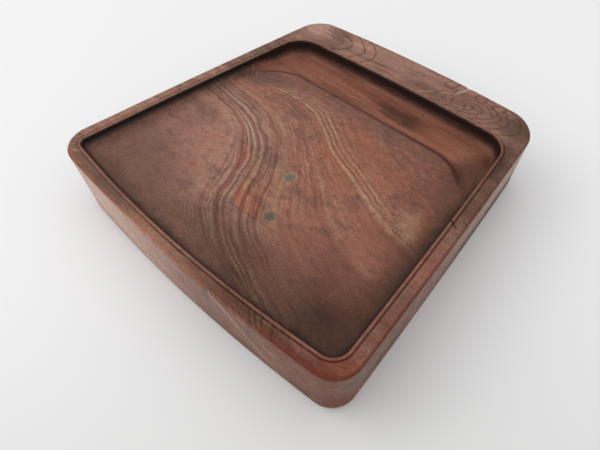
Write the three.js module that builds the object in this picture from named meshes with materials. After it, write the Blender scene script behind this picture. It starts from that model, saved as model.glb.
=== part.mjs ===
import * as THREE from 'three';

// An inkstone: one flat slab of banded red stone, wider at the foot than at the head, with a
// shallow basin carved in its top. Most of the basin is the level grinding ground. At the head
// the ground drops over a rounded shoulder into a deeper ink pool. A rim surrounds the basin,
// narrow on three sides and wide at the head, and a thin bead with a cut groove outside it
// follows the basin's mouth.
//
// Millimetres. +Z up, +Y from the foot to the head, origin at the middle of the underside.

// Slab. Its walls lean in towards the base, and its top edge is softest along the foot.
const HEIGHT = 33.5;
const FOOT_HALF_WIDTH = 90.9;
const HEAD_HALF_WIDTH = 71;
const FOOT_CHORD_Y = -79.7;
const HEAD_CHORD_Y = 81.4;
const FOOT_BULGE = 4.9;
const HEAD_BULGE = 3.2;
const SIDE_BULGE = 0.6;
const LEFT_FOOT_CORNER_RADIUS = 14.5;
const RIGHT_FOOT_CORNER_RADIUS = 12.3;
const LEFT_HEAD_CORNER_RADIUS = 11.4;
const RIGHT_HEAD_CORNER_RADIUS = 14.5;
const END_DRAFT = 1.7;
const SIDE_DRAFT = 2.8;
const BASE_LEFT_FOOT_CORNER_RADIUS = 18;
const BASE_RIGHT_FOOT_CORNER_RADIUS = 11.5;
const BASE_LEFT_HEAD_CORNER_RADIUS = 14;
const BASE_RIGHT_HEAD_CORNER_RADIUS = 10.5;
const TOP_EDGE_RADIUS = 1.3;
const FOOT_TOP_EDGE_RADIUS = 2.8;
const BOTTOM_EDGE_RADIUS = 3;
const FOOT_SOFTENING_START = 0.7;
const FOOT_SOFTENING_RUN = 0.25;

// Basin
const SIDE_RIM = 7.1;
const FOOT_RIM = 6.7;
const HEAD_RIM = 20.3;
const MOUTH_FOOT_BULGE = 5.3;
const MOUTH_HEAD_BULGE = 1.9;
const MOUTH_LEFT_FOOT_CORNER_RADIUS = 4;
const MOUTH_RIGHT_FOOT_CORNER_RADIUS = 7;
const MOUTH_HEAD_CORNER_RADIUS = 10.5;
const BASIN_WALL_DRAFT = 0.3;
const BASIN_FILLET = 3.2;

// Bead at the mouth, and the groove outside it
const BEAD_WIDTH = 1.3;
const BEAD_DROP = 0.5;
const GROOVE_WIDTH = 0.9;
const GROOVE_DEPTH = 0.6;

// Grinding ground and ink pool
const GROUND_DEPTH_AT_FOOT = 4;
const GROUND_FALL_TO_SHOULDER = 0.4;
const GROUND_MARGIN = 1.7;
const SHOULDER_Y = 38;
const SHOULDER_CORNER_RADIUS = 22;
const SHOULDER_RUN = 6;
const SHOULDER_LEAD = 1;
const SHOULDER_DROP = 2.2;
const SHOULDER_FADE_Y = 18;
const POOL_FALL_TO_HEAD = 2.2;

// How closely a point is placed on an edge
const CLOSE_ENOUGH = 1e-7;

// Rounded four-sided shapes. Each has a chord and an outward bulge at foot and head, a half
// width at each chord, bulged sides, and a radius at each of its four corners.
const slab = {
  footY: FOOT_CHORD_Y,
  headY: HEAD_CHORD_Y,
  footBulge: FOOT_BULGE,
  headBulge: HEAD_BULGE,
  sideBulge: SIDE_BULGE,
  footHalfWidth: FOOT_HALF_WIDTH,
  headHalfWidth: HEAD_HALF_WIDTH,
  leftFootRadius: LEFT_FOOT_CORNER_RADIUS,
  rightFootRadius: RIGHT_FOOT_CORNER_RADIUS,
  leftHeadRadius: LEFT_HEAD_CORNER_RADIUS,
  rightHeadRadius: RIGHT_HEAD_CORNER_RADIUS,
};

const base = {
  ...slab,
  footY: FOOT_CHORD_Y + END_DRAFT,
  headY: HEAD_CHORD_Y - END_DRAFT,
  footHalfWidth: FOOT_HALF_WIDTH - SIDE_DRAFT,
  headHalfWidth: HEAD_HALF_WIDTH - SIDE_DRAFT,
  leftFootRadius: BASE_LEFT_FOOT_CORNER_RADIUS,
  rightFootRadius: BASE_RIGHT_FOOT_CORNER_RADIUS,
  leftHeadRadius: BASE_LEFT_HEAD_CORNER_RADIUS,
  rightHeadRadius: BASE_RIGHT_HEAD_CORNER_RADIUS,
};

function slabHalfWidth(y) {
  const along = (y - slab.footY) / (slab.headY - slab.footY);
  return slab.footHalfWidth + (slab.headHalfWidth - slab.footHalfWidth) * along;
}

const mouthFootY = FOOT_CHORD_Y + FOOT_RIM;
const mouthHeadY = HEAD_CHORD_Y - HEAD_RIM;
const mouth = {
  footY: mouthFootY,
  headY: mouthHeadY,
  footBulge: MOUTH_FOOT_BULGE,
  headBulge: MOUTH_HEAD_BULGE,
  sideBulge: SIDE_BULGE,
  footHalfWidth: slabHalfWidth(mouthFootY) - SIDE_RIM,
  headHalfWidth: slabHalfWidth(mouthHeadY) - SIDE_RIM,
  leftFootRadius: MOUTH_LEFT_FOOT_CORNER_RADIUS,
  rightFootRadius: MOUTH_RIGHT_FOOT_CORNER_RADIUS,
  leftHeadRadius: MOUTH_HEAD_CORNER_RADIUS,
  rightHeadRadius: MOUTH_HEAD_CORNER_RADIUS,
};

const groundInset = BASIN_WALL_DRAFT + BASIN_FILLET + GROUND_MARGIN;
const ground = {
  footY: mouthFootY + groundInset,
  headY: SHOULDER_Y,
  footBulge: MOUTH_FOOT_BULGE,
  headBulge: 0,
  sideBulge: SIDE_BULGE,
  footHalfWidth: slabHalfWidth(mouthFootY + groundInset) - SIDE_RIM - groundInset,
  headHalfWidth: slabHalfWidth(SHOULDER_Y) - SIDE_RIM - groundInset,
  leftFootRadius: MOUTH_LEFT_FOOT_CORNER_RADIUS,
  rightFootRadius: MOUTH_RIGHT_FOOT_CORNER_RADIUS,
  leftHeadRadius: SHOULDER_CORNER_RADIUS,
  rightHeadRadius: SHOULDER_CORNER_RADIUS,
};

// Distance inwards from two meeting edges whose corner is rounded.
function roundedCorner(a, b, radius) {
  if (a >= radius || b >= radius) {
    return Math.min(a, b);
  }
  return radius - Math.hypot(radius - a, radius - b);
}

// Distance inwards from a shape's edge, positive inside it.
function inside(shape, x, y) {
  const along = (y - shape.footY) / (shape.headY - shape.footY);
  const taper = (shape.headHalfWidth - shape.footHalfWidth) / (shape.headY - shape.footY);
  const bow = shape.sideBulge * 4 * along * (1 - along);
  const halfWidth = shape.footHalfWidth + taper * (y - shape.footY) + bow;
  const toSide = (halfWidth - Math.abs(x)) / Math.hypot(1, taper);
  const toFoot = y - shape.footY + shape.footBulge * (1 - (x / shape.footHalfWidth) ** 2);
  const toHead = shape.headY - y + shape.headBulge * (1 - (x / shape.headHalfWidth) ** 2);
  const footRadius = x > 0 ? shape.rightFootRadius : shape.leftFootRadius;
  const headRadius = x > 0 ? shape.rightHeadRadius : shape.leftHeadRadius;
  const foot = roundedCorner(toFoot, toSide, footRadius);
  const head = roundedCorner(toHead, toSide, headRadius);
  return Math.min(foot, head);
}

// The point where the ray from the middle at this angle is `inset` inside the shape's edge.
function edgePoint(shape, inset, angle) {
  const dx = Math.cos(angle);
  const dy = Math.sin(angle);
  let near = 0;
  let far = 2 * FOOT_HALF_WIDTH;
  while (far - near > CLOSE_ENOUGH) {
    const middle = (near + far) / 2;
    if (inside(shape, dx * middle, dy * middle) > inset) {
      near = middle;
    } else {
      far = middle;
    }
  }
  return [dx * near, dy * near];
}

// Ray angles, close together through the corners and wide apart along the sides.
const CORNER_MARGIN = THREE.MathUtils.degToRad(7);
const CORNER_STEPS = 14;
const FLANK_STEPS = 11;
const HEAD_STEPS = 12;
const FOOT_STEPS = 14;

function rayAngles() {
  const slabHead = Math.atan2(slab.headY, slab.headHalfWidth);
  const mouthHead = Math.atan2(mouth.headY, mouth.headHalfWidth);
  const slabFoot = Math.atan2(-slab.footY, slab.footHalfWidth);
  const footStart = -slabFoot - CORNER_MARGIN;
  const footEnd = -slabFoot + CORNER_MARGIN;
  const headStart = mouthHead - CORNER_MARGIN;
  const headEnd = slabHead + CORNER_MARGIN;
  const spans = [
    [footStart, footEnd, CORNER_STEPS],
    [footEnd, headStart, FLANK_STEPS],
    [headStart, headEnd, CORNER_STEPS],
    [headEnd, Math.PI - headEnd, HEAD_STEPS],
    [Math.PI - headEnd, Math.PI - headStart, CORNER_STEPS],
    [Math.PI - headStart, Math.PI - footEnd, FLANK_STEPS],
    [Math.PI - footEnd, Math.PI - footStart, CORNER_STEPS],
    [Math.PI - footStart, 2 * Math.PI + footStart, FOOT_STEPS],
  ];
  const angles = [];
  for (const [start, end, steps] of spans) {
    for (let step = 0; step < steps; step += 1) {
      angles.push(start + ((end - start) * step) / steps);
    }
  }
  return angles;
}

const ANGLES = rayAngles();

// A level ring of points, `inset` inside a shape's edge.
function ring(shape, inset, z) {
  return ANGLES.map((angle) => [...edgePoint(shape, inset, angle), z]);
}

// Quarter-round edges: `turn` runs from 0, upright, to 1, level.
function quarter(turn, radius) {
  const angle = (turn * Math.PI) / 2;
  return { inset: radius * (1 - Math.cos(angle)), rise: radius * Math.sin(angle) };
}

const smooth = (t) => THREE.MathUtils.smoothstep(t, 0, 1);

// Height of the basin's floor: the ground, the rounded shoulder and the pool.
function floorHeight(x, y) {
  const toShoulder = (y - ground.footY) / (SHOULDER_Y - ground.footY);
  const level = HEIGHT - GROUND_DEPTH_AT_FOOT - GROUND_FALL_TO_SHOULDER * Math.min(toShoulder, 1);
  const beyond = -inside(ground, x, y);
  const fade = smooth((y - SHOULDER_FADE_Y) / (SHOULDER_Y - SHOULDER_FADE_Y));
  const step = smooth((beyond + SHOULDER_LEAD) / (SHOULDER_RUN + SHOULDER_LEAD));
  const shoulder = SHOULDER_DROP * fade * step;
  const toHead = (y - SHOULDER_Y) / (mouth.headY - BASIN_FILLET - SHOULDER_Y);
  const fall = POOL_FALL_TO_HEAD * THREE.MathUtils.clamp(toHead, 0, 1);
  return level - shoulder - fall;
}

const ROUND_TURNS = [0, 0.25, 0.5, 0.75, 1];
const POOL_STEPS = [0.06, 0.14, 0.24, 0.36, 0.5, 0.66, 0.83];
const SHOULDER_INSETS = [0, 1.2, 3];

// The top edge's radius on each ray.
function topEdgeRadius(angle) {
  const towardsFoot = smooth((-Math.sin(angle) - FOOT_SOFTENING_START) / FOOT_SOFTENING_RUN);
  return THREE.MathUtils.lerp(TOP_EDGE_RADIUS, FOOT_TOP_EDGE_RADIUS, towardsFoot);
}

function slabRings() {
  const rings = [];
  for (const turn of [...ROUND_TURNS].reverse()) {
    const { inset, rise } = quarter(turn, BOTTOM_EDGE_RADIUS);
    rings.push(ring(base, inset, BOTTOM_EDGE_RADIUS - rise));
  }
  for (const turn of ROUND_TURNS) {
    rings.push(ANGLES.map((angle) => {
      const radius = topEdgeRadius(angle);
      const { inset, rise } = quarter(turn, radius);
      return [...edgePoint(slab, inset, angle), HEIGHT - radius + rise];
    }));
  }
  return rings;
}

// The groove, then the bead's half-round section from its outer foot to its inner foot.
const BEAD_TURNS = [0, 0.25, 0.5, 0.75, 1];

function beadRings() {
  const bead = BEAD_TURNS.map((turn) => {
    const across = (1 + Math.cos(turn * Math.PI)) / 2;
    const drop = BEAD_DROP * (1 - Math.sin(turn * Math.PI));
    return ring(mouth, -across * BEAD_WIDTH, HEIGHT - drop);
  });
  return [
    ring(mouth, -BEAD_WIDTH - GROOVE_WIDTH, HEIGHT),
    ring(mouth, -BEAD_WIDTH - GROOVE_WIDTH / 2, HEIGHT - GROOVE_DEPTH),
    ...bead,
  ];
}

// The basin's wall and fillet, down to the edge of the floor at each ray.
function basinWallRings() {
  const floorInset = BASIN_WALL_DRAFT + BASIN_FILLET;
  const floorEdge = ANGLES.map((angle) => {
    const [x, y] = edgePoint(mouth, floorInset, angle);
    return [x, y, floorHeight(x, y)];
  });
  return ROUND_TURNS.map((turn) => {
    const { inset, rise } = quarter(turn, BASIN_FILLET);
    return ANGLES.map((angle, i) => {
      const [x, y] = edgePoint(mouth, BASIN_WALL_DRAFT + inset, angle);
      return [x, y, floorEdge[i][2] + BASIN_FILLET - rise];
    });
  });
}

function floorRings() {
  const shoulder = ring(ground, 0, 0);
  const edge = ring(mouth, BASIN_WALL_DRAFT + BASIN_FILLET, 0);
  const pool = [...POOL_STEPS].reverse().map((t) => shoulder.map(([x, y], i) => {
    const px = x + (edge[i][0] - x) * t;
    const py = y + (edge[i][1] - y) * t;
    return [px, py, floorHeight(px, py)];
  }));
  const level = SHOULDER_INSETS.map((inset) => (
    ring(ground, inset, 0).map(([x, y]) => [x, y, floorHeight(x, y)])
  ));
  return [...pool, ...level];
}

// One closed skin through all the rings, with a middle point at each end.
function skin(rings, first, last) {
  const count = ANGLES.length;
  const points = [first, ...rings.flat(), last];
  const at = (ringIndex, i) => 1 + ringIndex * count + (i % count);
  const end = points.length - 1;
  const faces = [];
  for (let i = 0; i < count; i += 1) {
    faces.push(0, at(0, i + 1), at(0, i));
    for (let r = 0; r + 1 < rings.length; r += 1) {
      faces.push(at(r, i), at(r, i + 1), at(r + 1, i + 1));
      faces.push(at(r, i), at(r + 1, i + 1), at(r + 1, i));
    }
    faces.push(at(rings.length - 1, i), at(rings.length - 1, i + 1), end);
  }
  const geometry = new THREE.BufferGeometry();
  geometry.setAttribute('position', new THREE.Float32BufferAttribute(points.flat(), 3));
  geometry.setIndex(faces);
  geometry.computeVertexNormals();
  return geometry;
}

const stone = new THREE.MeshStandardMaterial({ color: 0x8a5a4a, roughness: 0.5, metalness: 0 });
const rings = [...slabRings(), ...beadRings(), ...basinWallRings(), ...floorRings()];
const inkstone = new THREE.Mesh(skin(rings, [0, 0, 0], [0, 0, floorHeight(0, 0)]), stone);
inkstone.name = 'inkstone';

const group = new THREE.Group();
group.add(inkstone);

export default group;
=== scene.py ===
import math

import bpy
import numpy as np
from mathutils import Matrix, Vector, noise


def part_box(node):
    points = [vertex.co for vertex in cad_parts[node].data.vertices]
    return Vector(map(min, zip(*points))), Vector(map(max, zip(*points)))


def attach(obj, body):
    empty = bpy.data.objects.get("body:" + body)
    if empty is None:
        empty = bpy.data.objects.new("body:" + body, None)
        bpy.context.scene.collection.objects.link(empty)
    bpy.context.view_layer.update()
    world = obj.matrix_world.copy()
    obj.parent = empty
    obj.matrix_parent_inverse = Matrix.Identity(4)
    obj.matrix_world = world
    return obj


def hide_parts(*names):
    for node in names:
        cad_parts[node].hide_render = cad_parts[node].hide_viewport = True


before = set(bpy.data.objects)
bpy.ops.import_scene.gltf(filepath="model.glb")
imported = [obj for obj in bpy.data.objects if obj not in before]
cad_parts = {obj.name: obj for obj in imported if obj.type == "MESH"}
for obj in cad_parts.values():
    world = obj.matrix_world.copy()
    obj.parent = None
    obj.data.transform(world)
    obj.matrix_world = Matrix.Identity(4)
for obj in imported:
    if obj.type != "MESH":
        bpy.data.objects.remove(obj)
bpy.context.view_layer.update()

# An inkstone carved from one block of banded red stone. The hand-worn stone is one closed mesh
# built round the basin in rings, and its bands, eyes, crack and ink stains are one node material.
# Lengths are in millimetres, and become metres where a Blender object is made.

MM = 0.001
stone_low, stone_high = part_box("inkstone")

# ---------------------------------------------------------------------------------------------
# The carved shape, as in the CAD model

HEIGHT = stone_high.z / MM
END_DRAFT = 1.7
SIDE_DRAFT = 2.8
TOP_EDGE_RADIUS = 1.3
FOOT_TOP_EDGE_RADIUS = 2.8
BOTTOM_EDGE_RADIUS = 3.0
FOOT_SOFTENING_START = 0.7
FOOT_SOFTENING_RUN = 0.25
# The slab's widest point, short of the rounded corner, is this much inside its foot half width.
FOOT_CORNER_LOSS = 1.28

SLAB = {
    "foot_bulge": 4.9,
    "head_bulge": 3.2,
    "side_bulge": 0.6,
    "foot_half": stone_high.x / MM + FOOT_CORNER_LOSS,
    "head_half": 71.0,
    "left_foot_radius": 14.5,
    "right_foot_radius": 12.3,
    "left_head_radius": 11.4,
    "right_head_radius": 14.5,
}
SLAB["foot_y"] = stone_low.y / MM + SLAB["foot_bulge"]
SLAB["head_y"] = stone_high.y / MM - SLAB["head_bulge"]

BASE = dict(
    SLAB,
    foot_y=SLAB["foot_y"] + END_DRAFT,
    head_y=SLAB["head_y"] - END_DRAFT,
    foot_half=SLAB["foot_half"] - SIDE_DRAFT,
    head_half=SLAB["head_half"] - SIDE_DRAFT,
    left_foot_radius=18.0,
    right_foot_radius=11.5,
    left_head_radius=14.0,
    right_head_radius=10.5,
)

SIDE_RIM = 7.1
FOOT_RIM = 6.7
HEAD_RIM = 20.3
MOUTH_FOOT_BULGE = 5.3
MOUTH_HEAD_BULGE = 1.9
MOUTH_LEFT_FOOT_RADIUS = 4.0
MOUTH_RIGHT_FOOT_RADIUS = 7.0
MOUTH_HEAD_RADIUS = 10.5
BASIN_WALL_DRAFT = 0.3
BASIN_FILLET = 3.2
BEAD_WIDTH = 1.3
BEAD_DROP = 0.5
GROOVE_WIDTH = 0.9
GROOVE_DEPTH = 0.6

GROUND_DEPTH = 4.0
GROUND_FALL = 0.4
GROUND_MARGIN = 1.7
SHOULDER_Y = 38.0
SHOULDER_CORNER_RADIUS = 22.0
SHOULDER_RUN = 6.0
SHOULDER_LEAD = 1.0
SHOULDER_DROP = 2.2
SHOULDER_FADE_Y = 18.0
POOL_FALL = 2.2


def slab_half_width(y):
    """Half the slab's width at a place along it, between its two chords."""
    along = (y - SLAB["foot_y"]) / (SLAB["head_y"] - SLAB["foot_y"])
    return SLAB["foot_half"] + (SLAB["head_half"] - SLAB["foot_half"]) * along


def sunk_shape(foot_y, head_y, inset, head_bulge, head_radius):
    """A shape inside the slab whose sides run `inset` inside the slab's sides."""
    return {
        "foot_y": foot_y,
        "head_y": head_y,
        "foot_bulge": MOUTH_FOOT_BULGE,
        "head_bulge": head_bulge,
        "side_bulge": SLAB["side_bulge"],
        "foot_half": slab_half_width(foot_y) - inset,
        "head_half": slab_half_width(head_y) - inset,
        "left_foot_radius": MOUTH_LEFT_FOOT_RADIUS,
        "right_foot_radius": MOUTH_RIGHT_FOOT_RADIUS,
        "left_head_radius": head_radius,
        "right_head_radius": head_radius,
    }


MOUTH = sunk_shape(
    SLAB["foot_y"] + FOOT_RIM, SLAB["head_y"] - HEAD_RIM, SIDE_RIM, MOUTH_HEAD_BULGE, MOUTH_HEAD_RADIUS
)
GROUND_INSET = BASIN_WALL_DRAFT + BASIN_FILLET + GROUND_MARGIN
GROUND = sunk_shape(
    MOUTH["foot_y"] + GROUND_INSET, SHOULDER_Y, SIDE_RIM + GROUND_INSET, 0.0, SHOULDER_CORNER_RADIUS
)


def rounded_corner(a, b, radius):
    """Distance inwards from two meeting edges whose corner is rounded."""
    square = np.minimum(a, b)
    rounded = radius - np.hypot(radius - a, radius - b)
    return np.where((a >= radius) | (b >= radius), square, rounded)


def to_edges(shape, x, y):
    """Distances inwards from a shape's sides, foot and head, in numbers or shader Values."""
    length = shape["head_y"] - shape["foot_y"]
    taper = (shape["head_half"] - shape["foot_half"]) / length
    along = (y - shape["foot_y"]) / length
    bow = along * (1.0 - along) * (4 * shape["side_bulge"])
    half = (y - shape["foot_y"]) * taper + shape["foot_half"] + bow
    to_side = (half - abs(x)) / math.hypot(1, taper)
    across = x * x
    foot_bow = shape["foot_bulge"] - across * (shape["foot_bulge"] / shape["foot_half"] ** 2)
    head_bow = shape["head_bulge"] - across * (shape["head_bulge"] / shape["head_half"] ** 2)
    return to_side, y - shape["foot_y"] + foot_bow, head_bow - y + shape["head_y"]


def inside(shape, x, y):
    """Distance inwards from a shape's edge."""
    to_side, to_foot, to_head = to_edges(shape, x, y)
    foot_radius = np.where(x > 0, shape["right_foot_radius"], shape["left_foot_radius"])
    head_radius = np.where(x > 0, shape["right_head_radius"], shape["left_head_radius"])
    foot = rounded_corner(to_foot, to_side, foot_radius)
    head = rounded_corner(to_head, to_side, head_radius)
    return np.minimum(foot, head)


def ray_angles():
    """Directions from the middle, close together through the corners."""
    margin = math.radians(7)
    foot_corner = math.atan2(-SLAB["foot_y"], SLAB["foot_half"])
    mouth_corner = math.atan2(MOUTH["head_y"], MOUTH["head_half"])
    slab_corner = math.atan2(SLAB["head_y"], SLAB["head_half"])
    foot_start, foot_end = -foot_corner - margin, -foot_corner + margin
    head_start, head_end = mouth_corner - margin, slab_corner + margin
    turns = [
        (foot_start, 48),
        (foot_end, 112),
        (head_start, 56),
        (head_end, 64),
        (math.pi - head_end, 56),
        (math.pi - head_start, 112),
        (math.pi - foot_end, 48),
        (math.pi - foot_start, 84),
    ]
    ends = [start for start, _ in turns[1:]] + [2 * math.pi + foot_start]
    return np.concatenate(
        [np.linspace(start, end, steps, endpoint=False) for (start, steps), end in zip(turns, ends)]
    )


ANGLES = ray_angles()
RAY_X = np.cos(ANGLES)
RAY_Y = np.sin(ANGLES)


def edge_points(shape, inset):
    """Where each ray is `inset` inside the shape's edge. The inset may differ from ray to ray."""
    near = np.zeros(len(ANGLES))
    far = np.full(len(ANGLES), 2 * SLAB["foot_half"])
    for _ in range(40):
        middle = (near + far) / 2
        within = inside(shape, RAY_X * middle, RAY_Y * middle) > inset
        near = np.where(within, middle, near)
        far = np.where(within, far, middle)
    return RAY_X * near, RAY_Y * near


def smooth(t):
    """From 0 to 1 with no sudden start or end, and level outside them."""
    t = np.clip(t, 0, 1)
    return t * t * (3 - 2 * t)


def floor_height(x, y):
    """Height of the basin's floor: the ground, the rounded shoulder and the pool."""
    to_shoulder = (y - GROUND["foot_y"]) / (SHOULDER_Y - GROUND["foot_y"])
    level = HEIGHT - GROUND_DEPTH - GROUND_FALL * np.minimum(to_shoulder, 1)
    beyond = -inside(GROUND, x, y)
    fade = smooth((y - SHOULDER_FADE_Y) / (SHOULDER_Y - SHOULDER_FADE_Y))
    step = smooth((beyond + SHOULDER_LEAD) / (SHOULDER_RUN + SHOULDER_LEAD))
    to_head = (y - SHOULDER_Y) / (MOUTH["head_y"] - BASIN_FILLET - SHOULDER_Y)
    return level - SHOULDER_DROP * fade * step - POOL_FALL * np.clip(to_head, 0, 1)


# ---------------------------------------------------------------------------------------------
# Hand work and wear. Every change of shape cuts into the CAD shape and adds nothing outside it.

def ripple(x, y, z, size, seed):
    """Smooth unevenness from 0 to 1, `size` millimetres from one high to the next."""
    points = np.column_stack([x, y, np.broadcast_to(z, np.shape(x))]) / size + seed
    return np.array([0.5 + 0.5 * noise.noise(Vector(point)) for point in points])


def near_point(x, y, spot, reach):
    """1 at a spot, falling smoothly to 0 at `reach` from it."""
    return 1 - smooth(np.hypot(x - spot[0], y - spot[1]) / reach)


# Where the bead or the slab's top edge is knocked: place, reach and depth
BEAD_NICKS = [((73.2, 5.8), 1.6, 0.45), ((-47.0, -77.6), 1.2, 0.2), ((9.0, 62.6), 1.4, 0.25)]
EDGE_NICKS = [
    ((31.0, 84.0), 2.6, 0.4),
    ((-12.0, -84.0), 3.0, 0.5),
    ((52.0, -82.5), 2.6, 0.45),
    ((86.5, -52.0), 2.4, 0.4),
    ((78.0, 22.0), 2.2, 0.35),
]


def quarter(turn, radius):
    """A quarter-round edge, from upright at turn 0 to level at turn 1."""
    angle = turn * math.pi / 2
    return radius * (1 - math.cos(angle)), radius * math.sin(angle)


def nick_depth(nicks, x, y):
    """How deep the nicks cut at each point."""
    return sum(depth * near_point(x, y, spot, reach) for spot, reach, depth in nicks)


def top_edge_radius():
    """The top edge is softest along the middle of the foot, where hands and sleeves rub it."""
    x, y = edge_points(SLAB, 0.0)
    towards_foot = smooth((-RAY_Y - FOOT_SOFTENING_START) / FOOT_SOFTENING_RUN)
    rubbed = towards_foot * np.clip(1 - ((x - 5) / 85) ** 2, 0, 1)
    uneven = ripple(x, y, HEIGHT, 16, 3.7) - 0.5
    radius = TOP_EDGE_RADIUS + (FOOT_TOP_EDGE_RADIUS - TOP_EDGE_RADIUS) * towards_foot
    return radius + 0.6 * rubbed + 0.5 * uneven


def ring(shape, inset, z, wobble=0.0, size=20.0):
    """A ring of points inside a shape's edge, pushed in unevenly by up to `wobble`."""
    x, y = edge_points(shape, inset)
    if wobble:
        x, y = edge_points(shape, inset + wobble * ripple(x, y, z, size, 8.1))
    return np.column_stack([x, y, np.broadcast_to(z, x.shape)])


# How far the surface is pushed in unevenly, or worn down
WALL_WOBBLE = 0.16
BASIN_WOBBLE = 0.15
BASIN_WOBBLE_SIZE = 12.0
RIM_DISH = 0.12
BEAD_WEAR = 0.12
BROAD_HOLLOWS = 0.18
FINE_HOLLOWS = 0.05

# Where the rings lie, as turns of a rounded edge, shares of the way across, or insets
UNDERSIDE_INSETS = (60.0, 30.0, 14.0, 8.0)
BOTTOM_EDGE_TURNS = np.linspace(1, 0, 9)
WALL_SHARES = np.linspace(0, 1, 15)[1:-1]
TOP_EDGE_TURNS = np.linspace(0, 1, 11)
RIM_SHARES = (0.08, 0.2, 0.35, 0.5, 0.65, 0.8, 0.92)
GROOVE_SHARES = np.linspace(0, 1, 7)
BEAD_TURNS = np.linspace(0, math.pi, 11)[1:]
BASIN_WALL_SHARES = (0.3, 0.65)
FILLET_TURNS = np.linspace(0, 1, 11)
POOL_SHARES = np.linspace(1, 0, 29)[1:-1] ** 1.35
SHOULDER_INSETS = (-1.0, -0.4, 0.2, 0.8, 1.5, 2.5, 4.0)
GROUND_SHARES = (0.93, 0.85, 0.76, 0.67, 0.58, 0.49, 0.4, 0.31, 0.23, 0.16, 0.1, 0.05)


def slab_rings():
    """The underside, the rounded base, the leaning wall and the rounded top edge."""
    rings = [ring(BASE, inset, 0.0) for inset in UNDERSIDE_INSETS]
    for turn in BOTTOM_EDGE_TURNS:
        inset, rise = quarter(turn, BOTTOM_EDGE_RADIUS)
        rings.append(ring(BASE, inset, BOTTOM_EDGE_RADIUS - rise, WALL_WOBBLE))
    radius = top_edge_radius()
    top = HEIGHT - radius
    for share in WALL_SHARES:
        z = BOTTOM_EDGE_RADIUS + share * (top - BOTTOM_EDGE_RADIUS)
        below, above = ring(BASE, 0.0, z, WALL_WOBBLE), ring(SLAB, 0.0, z, WALL_WOBBLE)
        rings.append(below + (above - below) * share)
    x, y = edge_points(SLAB, 0.0)
    chip = 0.7 * nick_depth(EDGE_NICKS, x, y)
    for turn in TOP_EDGE_TURNS:
        inset, rise = quarter(turn, 1.0)
        cut = chip * math.sin(math.pi * (0.15 + 0.7 * turn))
        rings.append(ring(SLAB, inset * radius + cut, top + rise * radius - cut, WALL_WOBBLE))
    return rings


def rim_rings():
    """The flat top of the rim, very slightly dished between the edge and the groove."""
    edge = np.column_stack(edge_points(SLAB, top_edge_radius() + WALL_WOBBLE))
    lip = np.column_stack(edge_points(MOUTH, -BEAD_WIDTH - GROOVE_WIDTH))
    rings = []
    for share in RIM_SHARES:
        at = edge + (lip - edge) * share
        dish = RIM_DISH * math.sin(math.pi * share) * ripple(at[:, 0], at[:, 1], HEIGHT, 14, 1.3)
        rings.append(np.column_stack([at, HEIGHT - dish]))
    return rings


def bead_rings():
    """The cut groove and the thin bead, down to the top of the basin's wall."""
    profile = []
    for share in GROOVE_SHARES:
        depth = GROOVE_DEPTH * math.sin(math.pi * share * 0.5) ** 0.7
        depth += (BEAD_DROP - GROOVE_DEPTH) * max(0.0, share - 0.5) * 2
        profile.append((BEAD_WIDTH + GROOVE_WIDTH * (1 - share), depth))
    for turn in BEAD_TURNS:
        profile.append((BEAD_WIDTH * (1 + math.cos(turn)) / 2, BEAD_DROP * (1 - math.sin(turn) ** 0.8)))
    rings = []
    for out, depth in profile:
        x, y = edge_points(MOUTH, -out)
        worn = BEAD_WEAR * ripple(x, y, HEIGHT, 9, 5.2) + nick_depth(BEAD_NICKS, x, y)
        rings.append(np.column_stack([x, y, HEIGHT - depth - worn * (1 - depth / GROOVE_DEPTH) ** 0.5]))
    return rings


def basin_wall_rings():
    """The basin's wall and fillet, down to the edge of the floor on each ray."""
    floor_inset = BASIN_WALL_DRAFT + BASIN_FILLET
    floor_z = floor_height(*edge_points(MOUTH, floor_inset))
    top = HEIGHT - BEAD_DROP
    rings = []
    for share in BASIN_WALL_SHARES:
        z = top + share * (floor_z + BASIN_FILLET - top)
        rings.append(ring(MOUTH, BASIN_WALL_DRAFT * share, z, BASIN_WOBBLE, BASIN_WOBBLE_SIZE))
    for turn in FILLET_TURNS:
        inset, rise = quarter(turn, BASIN_FILLET)
        z = floor_z + BASIN_FILLET - rise
        wobble = BASIN_WOBBLE * (1 - turn)
        rings.append(ring(MOUTH, BASIN_WALL_DRAFT + inset, z, wobble, BASIN_WOBBLE_SIZE))
    return rings


def floor_point(x, y):
    """The floor with the faint hollows that grinding leaves."""
    worn = BROAD_HOLLOWS * ripple(x, y, 0.0, 30, 6.6) + FINE_HOLLOWS * ripple(x, y, 0.0, 9, 2.4)
    return np.column_stack([x, y, floor_height(x, y) - worn * smooth(inside(MOUTH, x, y) / 9 - 0.4)])


def floor_rings():
    """The basin's floor, from the foot of its walls over the shoulder to near the middle."""
    shoulder = np.column_stack(edge_points(GROUND, SHOULDER_INSETS[0]))
    edge = np.column_stack(edge_points(MOUTH, BASIN_WALL_DRAFT + BASIN_FILLET))
    rings = []
    for share in POOL_SHARES:
        at = shoulder + (edge - shoulder) * share
        rings.append(floor_point(at[:, 0], at[:, 1]))
    for inset in SHOULDER_INSETS:
        rings.append(floor_point(*edge_points(GROUND, inset)))
    inner = np.column_stack(edge_points(GROUND, SHOULDER_INSETS[-1]))
    for share in GROUND_SHARES:
        rings.append(floor_point(inner[:, 0] * share, inner[:, 1] * share))
    return rings


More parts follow.
